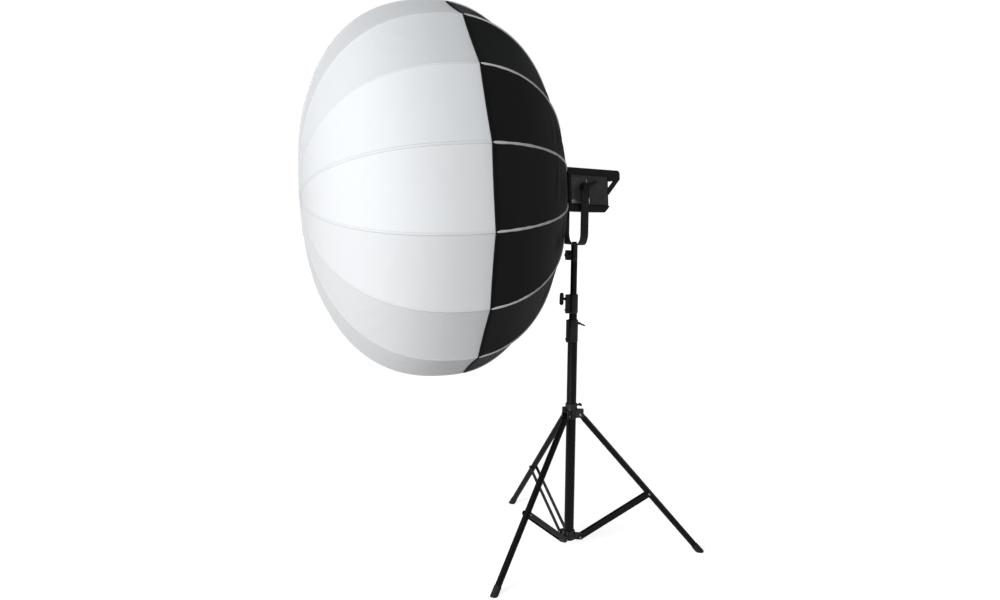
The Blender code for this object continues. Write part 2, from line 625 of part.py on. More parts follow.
def leg_mesh():
    """A tube that hangs from its hinge at the origin, with a flat tongue that the collar's pin goes through."""
    end, inner = LEG_LENGTH - 0.010, LEG_RADIUS - TUBE_WALL
    tube = turned([(0, -0.018), (LEG_RADIUS, -0.018), (LEG_RADIUS, -end), (inner, -end), (inner, -0.024),
                   (0, -0.024)])
    tongue = prism(stadium((0, 0), (0, -0.012), 0.009), -0.0094, 0.0094, "Y")
    return cut(joined(tube, tongue), rod(PIN_RADIUS + RUNNING, -0.02, 0.02, "Y", steps=12))


def foot_mesh():
    """A rubber cap over the leg's end, cut level where it stands on the floor."""
    top, seat, end = LEG_LENGTH - 0.034, LEG_LENGTH - 0.0097, LEG_LENGTH + 0.0075
    bore = LEG_RADIUS + GAP
    cap = turned([(0, -end), (FOOT_RADIUS - 0.003, -end), (FOOT_RADIUS, -end + 0.003), (FOOT_RADIUS, -top - 0.002),
                  (FOOT_RADIUS - 0.001, -top), (bore, -top), (bore, -seat), (0, -seat)])
    bm = bmesh.new()
    bm.from_mesh(cap)
    down = Vector((-math.sin(LEG_SPREAD), 0, -math.cos(LEG_SPREAD)))
    bmesh.ops.bisect_plane(bm, geom=bm.verts[:] + bm.edges[:] + bm.faces[:], dist=1e-6,
                           plane_co=(0, 0, -LEG_LENGTH), plane_no=down, clear_outer=True)
    rim = [edge for edge in bm.edges if edge.is_boundary]
    bmesh.ops.edgeloop_fill(bm, edges=rim)
    return finished(bm)


def brace_mesh(length):
    """Two flat straps either side of the leg, joined by the spider's pin. Their far ends carry rivet heads."""
    outer = STRAP_INNER + STRAP_THICKNESS
    outline = stadium((0, 0), (0, length), STRAP_HALF)
    straps = [prism(outline, low, high, "Y") for low, high in ((-outer, -STRAP_INNER), (STRAP_INNER, outer))]
    pin = rod(PIN_RADIUS, -outer - 0.001, outer + 0.001, "Y", steps=12)
    heads = [rod(0.0058, low, high, "Y", (0, 0, z), 12) for z in (0, length)
             for low, high in ((-outer - 0.0016, -outer + 0.001), (outer - 0.001, outer + 0.0016))]
    return joined(pin, *straps, *heads)


def build_legs(rig, sliding):
    joint = LEG_LENGTH * BRACE_SHARE
    rivet = Vector((LEG_PIVOT_RADIUS + joint * math.sin(LEG_SPREAD),
                    LEG_PIVOT_HEIGHT - joint * math.cos(LEG_SPREAD)))
    brace = rivet - Vector((SPIDER_PIVOT_RADIUS, SPIDER_PIVOT_HEIGHT))
    lean = math.atan2(brace.x, brace.y)
    meshes = {"leg": leg_mesh(), "foot": foot_mesh(), "brace": brace_mesh(brace.length)}
    for i, azimuth in enumerate(LEG_AZIMUTHS, 1):
        side = Matrix.Rotation(azimuth, 4, "Z")
        hinge = side @ Matrix.Translation((LEG_PIVOT_RADIUS, 0, LEG_PIVOT_HEIGHT))
        leg = empty(f"leg_hinge_{i}", sliding, hinge @ Matrix.Rotation(-LEG_SPREAD, 4, "Y"))
        node(f"leg_{i}", meshes["leg"], "stand_tube", leg)
        node(f"foot_{i}", meshes["foot"], "foot_rubber", leg)
        foot = side @ Matrix.Translation((SPIDER_PIVOT_RADIUS, 0, SPIDER_PIVOT_HEIGHT))
        node(f"brace_{i}", meshes["brace"], "stand_tube", rig, foot @ Matrix.Rotation(lean, 4, "Y"))


def main():
    for obj in list(bpy.data.objects):
        bpy.data.objects.remove(obj)
    rig = empty("rig", place=Matrix.Translation((0, COLUMN_Y, 0)))
    mid_section, top_section = build_tubes(rig)
    build_upper_clamp(mid_section)
    build_lower_clamp(rig)
    build_spider(rig)
    build_legs(rig, build_leg_collar(rig))
    yoke = build_yoke(top_section)
    tipped = Matrix.Translation((0, 0, HEAD_HEIGHT)) @ Matrix.Rotation(NOSE_DOWN, 4, "X")
    head = empty("head", yoke, tipped)
    build_lamp(head)
    build_softbox(head)


main()
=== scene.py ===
"""Looks for a lantern softbox on a lamp head and light stand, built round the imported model.

Metres, +Z up. The lantern's cloth, its seams, the lamp's grilles and the legs' grooved tubes are modelled
here. Everything else keeps its CAD shape, with small fastenings added and a node material on each.
"""

import json
import math

import bmesh
import bpy
import numpy as np
from mathutils import Matrix, Vector


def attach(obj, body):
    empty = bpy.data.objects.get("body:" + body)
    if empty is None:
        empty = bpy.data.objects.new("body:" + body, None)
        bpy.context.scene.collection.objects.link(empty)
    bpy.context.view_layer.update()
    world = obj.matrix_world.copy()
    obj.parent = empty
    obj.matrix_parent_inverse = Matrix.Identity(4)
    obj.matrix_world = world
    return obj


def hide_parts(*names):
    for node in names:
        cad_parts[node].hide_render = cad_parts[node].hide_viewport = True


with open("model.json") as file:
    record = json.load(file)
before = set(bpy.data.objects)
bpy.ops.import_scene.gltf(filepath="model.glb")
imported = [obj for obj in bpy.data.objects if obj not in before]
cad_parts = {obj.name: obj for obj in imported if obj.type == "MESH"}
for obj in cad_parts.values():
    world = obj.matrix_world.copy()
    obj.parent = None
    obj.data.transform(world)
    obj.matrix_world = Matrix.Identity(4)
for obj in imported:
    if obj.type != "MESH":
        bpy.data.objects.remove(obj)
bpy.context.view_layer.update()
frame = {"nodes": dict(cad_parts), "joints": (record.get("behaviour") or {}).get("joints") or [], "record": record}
NODES = frame["nodes"]
JOINTS = {joint["name"]: joint for joint in frame["joints"]}

PIVOT = Vector(JOINTS["head_tilt"]["pos_m"])

# The lantern's outline along its own axis from the tilt pivot, as in the CAD
LANTERN_RADIUS = 0.600
LANTERN_WIDEST, LANTERN_FRONT, LANTERN_REAR = -0.495, -0.932, -0.0925
FRONT_POWER, REAR_POWER = 2.45, 2.03
COVER_EDGE = math.pi / 2 + 0.0818
COVER_SLACK = 0.006
RIM_RADIUS = 0.086
GORES = 16
HALF_GORE = math.pi / GORES

# The lamp and its bars, round the tilt pivot
LAMP_FRONT, LAMP_REAR = -0.056, 0.088
GRILLE_OUTER, HANDLE_HALF = 0.0805, 0.0785
TOP_SLOPE, BOTTOM_SLOPE = -0.098, -0.085
BAR_TOP, RAIL_BOTTOM = 0.0705, -0.0765  # heights at the lamp's front
BAR_THICKNESS, RAIL_THICKNESS = 0.0225, 0.0235
LOUVRES, LOUVRE_PITCH, LOWEST_LOUVRE = 5, 0.0062, -0.0110
LOUVRE_SIZE = (0.112, 0.0016, 0.0030)
LOUVRE_TILT = math.radians(28)

# The legs
LEG_SPREAD = math.radians(41.7)
LEG_RADIUS = 0.011
LEG_LENGTH = JOINTS["leg_1_fold"]["pos_m"][2] / math.cos(LEG_SPREAD)
BRACE_SHARE = 0.571  # how far down the leg the brace is riveted

# The cloth's threads and stitches
THREAD_PITCH, THREAD_DEPTH = 0.0009, 0.00005
STITCH_PITCH, STITCH_SHARE, STITCH_HALF_WIDTH = 0.0042, 0.68, 0.00045
STITCH_DIP_WIDTH, STITCH_DIP_DEPTH = 0.0014, 0.0006

# Small shapes in the cloth
RIPPLE_PITCHES, RIPPLE_HEIGHT, RIPPLE_REACH = (0.047, 0.031, 0.083), 0.00022, 0.030
TROUGH = 1.2  # how strongly the cloth dips on both sides of a crease
TAPER_LENGTH = 0.006
HEM_WIDTH, HEM_MIDDLE, HEM_THICKNESS = 0.0115, 0.0057, 0.0009
PATCH_RADIUS = 0.034

# The lamp's side grilles and screws
LATTICE_PITCH, LATTICE_WEB, LATTICE_DEPTH = 0.0047, 0.00085, 0.0012
GRILLE_FRAME_DEPTH, GRILLE_FRAME_BEVEL, GRILLE_FRAME_PROUD = 0.0045, 0.0004, 0.0008
SCREW_RADIUS, SCREW_HEIGHT = 0.0026, 0.0012

# The legs' tubes and the rivets on the stand
TUBE_TOP, TUBE_END, TUBE_CHAMFER = -0.018, 0.010, 0.0008
TUBE_GROOVES = [math.radians(angle) for angle in (62, 118, 242, 298)]
TONGUE_HALF_WIDTH, TONGUE_REACH, TONGUE_END, HINGE_HOLE = 0.0094, 0.009, -0.0185, 0.0035
RIVET_SIZE = (0.0042, 0.0042, 0.0016)
COLLAR_RIVET_REACH, BRACE_RIVET_REACH = 0.0149, 0.0161


def head_place():
    """The lamp head's own axes at rest: Y back along the lantern's axis, X to the right, Z up."""
    back = -Vector(JOINTS["softbox_twist"]["axis"])
    right = Vector((1, 0, 0))
    turn = Matrix((right, back, right.cross(back))).transposed()
    return Matrix.Translation(PIVOT) @ turn.to_4x4()


HEAD = head_place()

# Light from the surroundings, below and above the horizon
COOL = (0.93, 0.97, 1.0)
WORLD_LOW = (0.42, 0.42, 0.42)
WORLD_HIGH = tuple(0.17 * part for part in COOL)

# The camera: its place, and its turn, downward tilt and roll
CAMERA_PLACE = (2.586, -0.7779, 1.2006)
CAMERA_TURN, CAMERA_DOWN, CAMERA_ROLL = math.radians(73.78), math.radians(6.14), 0.0092
CAMERA_LENS, CAMERA_SENSOR = 28.34, 36


# Materials


class Surface:
    """A Principled material, with short ways to add node detail to it."""

    def __init__(self, name, colour, roughness, metallic=0.0, **inputs):
        self.material = bpy.data.materials.new(name)
        self.material.use_nodes = True
        self.material.diffuse_color = (*colour, 1)
        self.tree = self.material.node_tree
        self.shader = self.tree.nodes["Principled BSDF"]
        self.put(self.shader, "Base Color", (*colour, 1))
        self.put(self.shader, "Roughness", roughness)
        self.put(self.shader, "Metallic", metallic)
        for key, value in inputs.items():
            self.put(self.shader, key.replace("_", " "), value)
        self.colour, self.roughness = colour, roughness
        self.normal = None

    def node(self, kind, **values):
        made = self.tree.nodes.new("ShaderNode" + kind)
        for key, value in values.items():
            if key in made.bl_rna.properties:
                setattr(made, key, value)
            else:
                self.put(made, key.replace("_", " "), value)
        return made

    def put(self, node, socket, value):
        if isinstance(value, bpy.types.NodeSocket):
            self.tree.links.new(value, node.inputs[socket])
        else:
            node.inputs[socket].default_value = value

    def math(self, operation, first, second=0.0, clamp=False):
        made = self.node("Math", operation=operation, use_clamp=clamp)
        self.put(made, 0, first)
        self.put(made, 1, second)
        return made.outputs[0]

    def place(self, coordinates, stretch=(1, 1, 1), turn=(0, 0, 0)):
        source = self.node("TexCoord").outputs[coordinates]
        return self.node("Mapping", Vector=source, Scale=stretch, Rotation=turn).outputs[0]

    def noise(self, scale, detail=3.0, stretch=(1, 1, 1), coordinates="Object"):
        vector = self.place(coordinates, stretch)
        return self.node("TexNoise", Vector=vector, Scale=scale, Detail=detail).outputs[0]

    def ramp(self, value, low, high):
        """A value from 0 to 1 that rises as the given one goes from low to high."""
        return self.node("MapRange", Value=value, From_Min=low, From_Max=high).outputs[0]

    def mix(self, share, first, second):
        made = self.node("Mix", data_type="RGBA")
        for socket, value in ((0, share), (6, first), (7, second)):
            is_colour = isinstance(value, tuple) and len(value) == 3
            self.put(made, socket, (*value, 1) if is_colour else value)
        return made.outputs[2]

    def vary_colour(self, value, low, high):
        """Colour goes from low to high times the base as the value goes from 0 to 1."""
        dark, light = (tuple(min(c * k, 1) for c in self.colour) for k in (low, high))
        self.tint(self.mix(value, dark, light))

    def tint(self, colour):
        self.put(self.shader, "Base Color", colour)

    def tinted(self, share, colour):
        """Mixes a colour over what is there."""
        linked = self.shader.inputs["Base Color"].links
        base = linked[0].from_socket if linked else (*self.colour, 1)
        self.tint(self.mix(share, base, colour))

    def vary_roughness(self, value, spread):
        low, high = self.roughness - spread, self.roughness + spread
        ranged = self.node("MapRange", Value=value, To_Min=low, To_Max=high)
        self.put(self.shader, "Roughness", ranged.outputs[0])

    def round_edges(self, radius):
        self.normal = self.node("Bevel", samples=4, Radius=radius).outputs[0]
        self.put(self.shader, "Normal", self.normal)

    def bump(self, height, distance, strength=1.0):
        made = self.node("Bump", Height=height, Distance=distance, Strength=strength)
        if self.normal:
            self.put(made, "Normal", self.normal)
        self.normal = made.outputs[0]
        self.put(self.shader, "Normal", self.normal)


def weave(surface):
    """Threads over and under each other, from the cloth's UVs, which are in metres."""
    scale = (1 / THREAD_PITCH, 1 / THREAD_PITCH, 1)
    parts = [surface.node("SeparateXYZ", Vector=surface.place("UV", scale)).outputs[i] for i in (0, 1)]
    over = [surface.math("SINE", surface.math("MULTIPLY", part, 2 * math.pi)) for part in parts]
    surface.bump(surface.math("MULTIPLY", *over), THREAD_DEPTH)


def cloth(name, colour, roughness, sheen, sheen_roughness, patch, gloss=0.3):
    surface = Surface(name, colour, roughness, Sheen_Weight=sheen, Sheen_Roughness=sheen_roughness,
                      Specular_IOR_Level=gloss)
    surface.vary_colour(surface.noise(6, 4), 1 - patch, 1 + patch)
    surface.bump(surface.noise(22, 4), 0.0006, 0.6)
    weave(surface)
    return surface


def stitched(surface, half_width, thread):
    """Two rows of stitches, at each edge of a strip whose UVs run along and across it from its middle."""
    along, across = (surface.node("SeparateXYZ", Vector=surface.place("UV")).outputs[i] for i in (0, 1))
    beat = surface.math("FRACT", surface.math("DIVIDE", along, STITCH_PITCH))
    dash = surface.math("LESS_THAN", beat, STITCH_SHARE)
    from_middle = surface.math("ABSOLUTE", across)
    offset = surface.math("ABSOLUTE", surface.math("SUBTRACT", from_middle, half_width))
    line = surface.math("LESS_THAN", offset, STITCH_HALF_WIDTH)
    groove = surface.ramp(offset, 0, STITCH_DIP_WIDTH)
    surface.bump(groove, STITCH_DIP_DEPTH)
    surface.tinted(surface.math("MULTIPLY", dash, line), thread)


def braid(name, colour):
    """A twisted trim: light and dark bars that slant across it."""
    surface = Surface(name, colour, 0.75, Sheen_Weight=0.3)
    slanted = surface.place("UV", turn=(0, 0, math.radians(35)))
    bars = surface.node("TexWave", Vector=slanted, Scale=95.0, Distortion=1.2, Detail=1.0)
    surface.vary_colour(bars.outputs[1], 0.72, 1.1)
    surface.bump(bars.outputs[1], 0.0004)
    return surface


def moulded(name, colour, roughness=0.5, grain=0.00008, edge=0.0006):
    """Moulded plastic: fine spark grain, faint mottling and slightly rounded edges."""
    surface = Surface(name, colour, roughness, Specular_IOR_Level=0.3)
    surface.round_edges(edge)
    surface.vary_colour(surface.noise(35, 3), 0.82, 1.25)
    surface.vary_roughness(surface.noise(60, 2), 0.07)
    surface.bump(surface.noise(1400, 2), grain)
    return surface


def worn(surface, bare, amount):
    """Edges rubbed lighter, in patches."""
    edges = surface.ramp(surface.node("NewGeometry").outputs["Pointiness"], 0.54, 0.62)
    patches = surface.ramp(surface.noise(45, 3), 0.45, 0.65)
    share = surface.math("MULTIPLY", surface.math("MULTIPLY", edges, patches), amount)
    surface.tinted(share, bare)


def painted(name, colour, roughness, peel=0.00006, gloss=0.3):
    """Powder coat or paint over metal, with a little orange peel and rubbed edges."""
    surface = Surface(name, colour, roughness, 0.1, Specular_IOR_Level=gloss)
    surface.round_edges(0.0006)
    surface.vary_colour(surface.noise(18, 4), 0.8, 1.3)
    surface.vary_roughness(surface.noise(25, 3), 0.08)
    surface.bump(surface.noise(420, 2), peel)
    worn(surface, (0.10, 0.10, 0.105), 0.3)
    return surface


def drawn_tube(name, colour, roughness):
    """Anodised tube with faint draw lines and scuffs along it."""
    surface = Surface(name, colour, roughness, 0.2, Specular_IOR_Level=0.35)
    surface.vary_colour(surface.noise(30, 4, (1, 1, 0.12)), 0.7, 1.45)
    surface.vary_roughness(surface.noise(60, 3, (1, 1, 0.08)), 0.07)
    surface.bump(surface.noise(260, 2, (1, 1, 0.03)), 0.00003)
    return surface


def brushed(name, colour, roughness):
    """Bare or plated metal with fine brush marks."""
    surface = Surface(name, colour, roughness, 1.0)
    surface.round_edges(0.0004)
    surface.vary_colour(surface.noise(40, 3), 0.85, 1.1)
    surface.vary_roughness(surface.noise(300, 2, (1, 0.05, 1)), 0.1)
    surface.bump(surface.noise(500, 2, (1, 0.04, 1)), 0.00003)
    return surface


def rubber(name, colour):
    surface = Surface(name, colour, 0.8)
    surface.round_edges(0.0008)
    surface.vary_colour(surface.noise(40, 4), 0.75, 1.7)
    surface.vary_roughness(surface.noise(50, 3), 0.08)
    surface.bump(surface.noise(600, 3), 0.0001)
    return surface


def emitter_dots(name):
    """A chip array under yellow phosphor: a grid of small domes."""
    surface = Surface(name, (0.85, 0.66, 0.12), 0.35)
    cells = surface.node("TexVoronoi", Vector=surface.place("Object"), Scale=420.0, Randomness=0.0)
    surface.vary_colour(surface.ramp(cells.outputs[0], 0.1, 0.6), 1.1, 0.8)
    surface.bump(cells.outputs[0], 0.0003)
    return surface


def make_materials():
    white = cloth("diffusion_cloth", (0.74, 0.755, 0.77), 0.9, 0.25, 0.5, patch=0.015)
    sleeve = cloth("sleeve_cloth", (0.73, 0.745, 0.76), 0.9, 0.25, 0.5, patch=0.015)
    stitched(sleeve, 0.0038, (0.55, 0.56, 0.57))
    black = cloth("black_nylon", (0.0048, 0.0048, 0.0052), 0.6, 0.08, 0.25, patch=0.2, gloss=0.2)
    hem = cloth("hem_nylon", (0.0035, 0.0035, 0.004), 0.75, 0.02, 0.4, patch=0.2, gloss=0.15)
    stitched(hem, 0.0045, (0.03, 0.03, 0.032))
    made = {
        "white_cloth": white, "sleeve": sleeve, "black_cloth": black, "hem": hem,
        "binding": braid("binding_braid", (0.62, 0.62, 0.625)),
        "fibreglass": moulded("fibreglass_rod", (0.55, 0.55, 0.50), 0.45, grain=0.00003, edge=0.0003),
        "black_plastic": moulded("moulded_black", (0.013, 0.013, 0.014)),
        "ring_plastic": moulded("ring_nylon", (0.020, 0.020, 0.022), 0.45),
        "handle_plastic": moulded("handle_moulding", (0.015, 0.015, 0.0155), 0.52,
                                  grain=0.00015, edge=0.0016),
        "lamp_casing": painted("lamp_coat", (0.011, 0.011, 0.012), 0.5),
        "lamp_mesh": moulded("grille_coat", (0.12, 0.12, 0.122), grain=0.00003, edge=0.0003),
        "bare_aluminium": brushed("extruded_aluminium", (0.60, 0.60, 0.62), 0.35),
        "emitter": emitter_dots("phosphor"),
        "steel_bayonet": brushed("brushed_steel", (0.50, 0.50, 0.52), 0.28),
        "yoke_paint": painted("yoke_coat", (0.022, 0.022, 0.0225), 0.42),
        "stand_tube": drawn_tube("anodised_tube", (0.0045, 0.0045, 0.0048), 0.3),
        "stand_casting": painted("casting_coat", (0.020, 0.020, 0.0205), 0.33, peel=0.0001, gloss=0.5),
        "foot_rubber": rubber("foot_rubber_mat", (0.009, 0.009, 0.009)),
        "screw": brushed("black_oxide", (0.05, 0.05, 0.052), 0.35),
        "pale_rivet": brushed("zinc_rivet", (0.42, 0.42, 0.43), 0.35),
    }
    return {key: surface.material for key, surface in made.items()}


MATERIALS = make_materials()


def dress_cad():
    """Gives every CAD node the node material of its slot in the record, and the lamp's bars their own."""
    slots = {part["node"]: part["material_slot"] for part in frame["record"]["subparts"]}
    special = {"top_handle": "handle_plastic", "bottom_rail": "handle_plastic"}
    for name, obj in NODES.items():
        key = special.get(name, slots[name])
        if not obj.material_slots:
            obj.data.materials.append(None)
        for slot in obj.material_slots:
            slot.material = MATERIALS[key]


# Pieces


def piece(name, mesh, key, body, replaces, place=Matrix.Identity(4), smooth=30):
    """Adds a mesh as a named piece that rides on a body, smooth except at edges sharper than an angle."""
    mesh.name = name
    mesh.materials.clear()
    mesh.materials.append(MATERIALS[key])
    mesh.transform(place)
    mesh.shade_smooth()
    if smooth:
        mesh.set_sharp_from_angle(angle=math.radians(smooth))
    made = bpy.data.objects.new(name, mesh)
    bpy.context.scene.collection.objects.link(made)
    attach(made, body)
    if replaces:
        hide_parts(*replaces)
    return made


def grid_mesh(points, uvs):
    """A sheet from an array of points, rows by columns, with its UVs."""
    rows, columns = points.shape[:2]
    index = np.arange(rows * columns).reshape(rows, columns)

    def round_each_quad(values):
        return np.stack([values[:-1, :-1], values[:-1, 1:], values[1:, 1:], values[1:, :-1]], axis=2)

    mesh = bpy.data.meshes.new("sheet")
    quads = round_each_quad(index).reshape(-1, 4)
    mesh.from_pydata(points.reshape(-1, 3).tolist(), [], quads.tolist())
    corners = round_each_quad(uvs).astype(np.float32)
    mesh.uv_layers.new(name="metres").data.foreach_set("uv", corners.ravel())
    return mesh


def joined(meshes):
    """Several meshes as one, with their UVs."""
    bm = bmesh.new()
    for mesh in meshes:
        bm.from_mesh(mesh)
    made = bpy.data.meshes.new("joined")
    bm.to_mesh(made)
    bm.free()
    return made


def welded(mesh, distance):
    """The mesh with points this close to each other made one."""
    bm = bmesh.new()
    bm.from_mesh(mesh)
    bmesh.ops.remove_doubles(bm, verts=bm.verts, dist=distance)
    bm.to_mesh(mesh)
    bm.free()
    return mesh


def finished(bm):
    """A mesh from a BMesh, with its normals outward."""
    bmesh.ops.recalc_face_normals(bm, faces=bm.faces)
    mesh = bpy.data.meshes.new("shape")
    bm.to_mesh(mesh)
    bm.free()
    return mesh


def bridge(bm, first, second):
    """Quads between two rings of as many points."""
    for i in range(len(first)):
        j = (i + 1) % len(first)
        bm.faces.new((first[i], first[j], second[j], second[i]))


def thicken(bm, push):
    """Makes a flat sheet a closed plate by pushing a copy of it."""
    pushed = bmesh.ops.extrude_face_region(bm, geom=bm.faces[:])["geom"]
    far = [part for part in pushed if isinstance(part, bmesh.types.BMVert)]
    bmesh.ops.translate(bm, verts=far, vec=push)


# The lantern's surface


def outside(angle):
    """(place along the axis, radius) on a rib's line, from 0 at the front pole to pi at the rear."""
    front = angle < math.pi / 2
    depth = np.where(front, LANTERN_WIDEST - LANTERN_FRONT, LANTERN_REAR - LANTERN_WIDEST)
    power = np.where(front, 2 / FRONT_POWER, 2 / REAR_POWER)
    along = LANTERN_WIDEST - np.sign(np.cos(angle)) * depth * np.abs(np.cos(angle)) ** power
    return along, LANTERN_RADIUS * np.clip(np.sin(angle), 0, None) ** power


ANGLES = np.linspace(0, math.pi, 6001)
ALONG, RADIUS = outside(ANGLES)
ARC = np.concatenate([[0], np.cumsum(np.hypot(np.diff(ALONG), np.diff(RADIUS)))])


def arc_at(angle):
    return float(np.interp(angle, ANGLES, ARC))


EDGE_ARC = arc_at(COVER_EDGE)
END_ARC = arc_at(math.pi - math.asin((RIM_RADIUS / LANTERN_RADIUS) ** (REAR_POWER / 2)))


def rib_line(arc):
    """Place along the axis, radius, and the two parts of the outward direction, at arc lengths from the front
    pole."""
    along, radius = np.interp(arc, ARC, ALONG), np.interp(arc, ARC, RADIUS)
    step = 0.002
    before, after = np.clip(arc - step, 0, ARC[-1]), np.clip(arc + step, 0, ARC[-1])
    forward = np.interp(after, ARC, ALONG) - np.interp(before, ARC, ALONG)
    outward = np.interp(after, ARC, RADIUS) - np.interp(before, ARC, RADIUS)
    length = np.hypot(forward, outward)
    return along, radius, -outward / length, forward / length


class Fold:
    """A crease in one gore: a ridge with a shallow trough on each side. Its middle is at an arc length and a
    sideways distance, and its direction leans from straight across the gore by an angle."""

    def __init__(self, arc, side, lean, length, width, height):
        self.arc, self.side, self.lean = arc, side, math.radians(lean)
        self.length, self.width, self.height = length, width, height

    def rise(self, arc, side):
        forward, sideways = arc - self.arc, side - self.side
        along = forward * math.sin(self.lean) + sideways * math.cos(self.lean)
        across = (forward * math.cos(self.lean) - sideways * math.sin(self.lean)) / self.width
        return self.height * (1 - TROUGH * across ** 2) * np.exp(-across ** 2 - (along / self.length) ** 2)


def pucker(arc, from_seam, chance):
    """Small ripples where the cloth is gathered onto a seam, fading out away from it."""
    phase = chance.uniform(0, 2 * math.pi, 3)
    ripple = sum(np.sin(2 * math.pi * arc / pitch + p) for pitch, p in zip(RIPPLE_PITCHES, phase))
    return RIPPLE_HEIGHT * ripple * np.exp(-from_seam / RIPPLE_REACH)


def round_axis(turn, along, radial, side):
    """Points at a turn round the lantern's axis, from their distances along it, out from it and sideways."""
    return np.stack([radial * math.cos(turn) - side * math.sin(turn), along,
                     radial * math.sin(turn) + side * math.cos(turn)], axis=-1)


def gore(index, arcs, across, folds, chance, lift):
    """Points of one gore, arc lengths by places across it from -1 to 1, with its creases."""
    arc, u = np.meshgrid(arcs, across, indexing="ij")
    along, radius, out_along, out_radial = rib_line(arc)
    half = radius * math.sin(HALF_GORE)
    side = half * u
    bow = (1 - u ** 2) * COVER_SLACK * np.sin(np.interp(arc, ARC, ANGLES))
    radial = radius * math.cos(HALF_GORE) * (1 - bow)
    free = 1 - np.abs(u) ** 6
    rise = lift + free * sum((fold.rise(arc, side) for fold in folds), np.zeros_like(arc))
    for end in (-1, 1):
        rise = rise + free * pucker(arc, np.abs(end * half - side), chance)
    along = along + rise * out_along
    radial = radial + rise * out_radial
    points = round_axis(2 * HALF_GORE * index, along, radial, side)
    return points, np.stack([arc, side], axis=-1)


def panelled(arcs, across, folds_of, seed, lift=0.0):
    """A mesh of sixteen gores side by side."""
    chance = np.random.default_rng(seed)
    gores = [gore(i, arcs, across, folds_of(i, chance), chance, lift) for i in range(GORES)]
    return welded(joined([grid_mesh(*one) for one in gores]), 0.00002)


def white_folds(index, chance):
    """A few soft diagonal creases in each front gore. The first also has a deeper tuck and a ridge by it."""
    folds = []
    for _ in range(5):
        arc, side = chance.uniform(0.25, 0.85), chance.uniform(-0.06, 0.06)
        lean = chance.choice([-1, 1]) * chance.uniform(15, 50)
        length, width = chance.uniform(0.03, 0.07), chance.uniform(0.010, 0.016)
        folds.append(Fold(arc, side, lean, length, width, chance.uniform(0.0004, 0.0009)))
    if index == 0:
        folds.append(Fold(0.50, 0.094, 84, 0.085, 0.007, -0.0022))
        folds.append(Fold(0.53, 0.045, 32, 0.055, 0.012, 0.0016))
    return folds


def black_folds(index, chance):
    """Creases stretched from rib to rib, closer together and higher towards the ring."""
    count = 9
    folds = []
    for i in range(count):
        share = 0.42 + 0.52 * (i + chance.uniform(-0.3, 0.3)) / count
        arc, side = EDGE_ARC + share * (END_ARC - EDGE_ARC), chance.uniform(-0.02, 0.02)
        lean, length = chance.uniform(8, 17), chance.uniform(0.03, 0.07)
        width, height = chance.uniform(0.009, 0.014), chance.uniform(0.0018, 0.0038)
        folds.append(Fold(arc, side, lean, length, width, height))
    return folds


def strip(seam, start, end, half_width, height, chance, wobble):
    """A half-round strip over a rib's seam, which tapers at both ends."""
    arc = np.linspace(start, end, 90)
    along, radius, out_along, out_radial = rib_line(arc)
    taper = np.clip(np.minimum(arc - start, end - arc) / TAPER_LENGTH, 0.25, 1)
    waves = sum(np.sin(2 * math.pi * arc / pitch + chance.uniform(0, 6.3)) for pitch in (0.11, 0.045))
    width = half_width * taper * (1 + wobble * waves)
    turns = np.linspace(0, math.pi, 9)
    side = width[:, None] * np.cos(turns)
    drop = np.abs(side) * math.tan(HALF_GORE) * out_radial[:, None]
    rise = height * taper[:, None] * np.sin(turns) - drop - 0.0003
    radial = radius[:, None] + rise * out_radial[:, None]
    place = along[:, None] + rise * out_along[:, None]
    points = round_axis(2 * HALF_GORE * (seam + 0.5), place, radial, side)
    uvs = np.stack([np.broadcast_to(arc[:, None], side.shape), side], axis=-1)
    return grid_mesh(points, uvs)


def ring_of(radius, along, tube, waves):
    """A rolled hem round the lantern's axis, slightly wavy."""
    turns, rolls = (np.linspace(0, 2 * math.pi, count) for count in (129, 13))
    turn, roll = np.meshgrid(turns, rolls, indexing="ij")
    size = tube * (1 + waves * np.sin(48 * turn) * np.cos(roll))
    out = radius + size * np.cos(roll)
    points = np.stack([out * np.cos(turn), along + size * np.sin(roll), out * np.sin(turn)], axis=-1)
    return welded(grid_mesh(points, np.stack([turn * radius, roll * tube], axis=-1)), 1e-6)


def front_patch():
    """A round patch that covers the seams' meeting point."""
    arcs = np.array([0.0, 0.25, 0.5, 0.75, 0.9, 1.0]) * PATCH_RADIUS
    turn = np.linspace(0, 2 * math.pi, 65)
    arc, around = np.meshgrid(arcs, turn, indexing="ij")
    along, radius, _, _ = rib_line(arc)
    proud = np.where(arc > 0.95 * PATCH_RADIUS, 0.0009, 0.0026)
    points = np.stack([radius * np.cos(around), along - proud, radius * np.sin(around)], axis=-1)
    return grid_mesh(points, np.stack([around * PATCH_RADIUS, PATCH_RADIUS - arc - 0.0045], axis=-1))


def build_front_cover(across, chance):
    first = 0.004
    near, far = np.linspace(first, 0.06, 8), np.linspace(0.066, EDGE_ARC + 0.0008, 112)
    mesh = panelled(np.concatenate([near, far]), across, white_folds, 5)
    white = piece("front_cover", mesh, "white_cloth", "softbox", ["white_diffuser"], HEAD, 0)
    sleeves = joined([strip(i, 0.026, EDGE_ARC + 0.004, 0.0052, 0.0017, chance, 0.03) for i in range(GORES)])
    sleeves = piece("seam_sleeves", sleeves, "sleeve", "softbox", (), HEAD, 0)
    patch = piece("front_patch", front_patch(), "sleeve", "softbox", (), HEAD, 50)


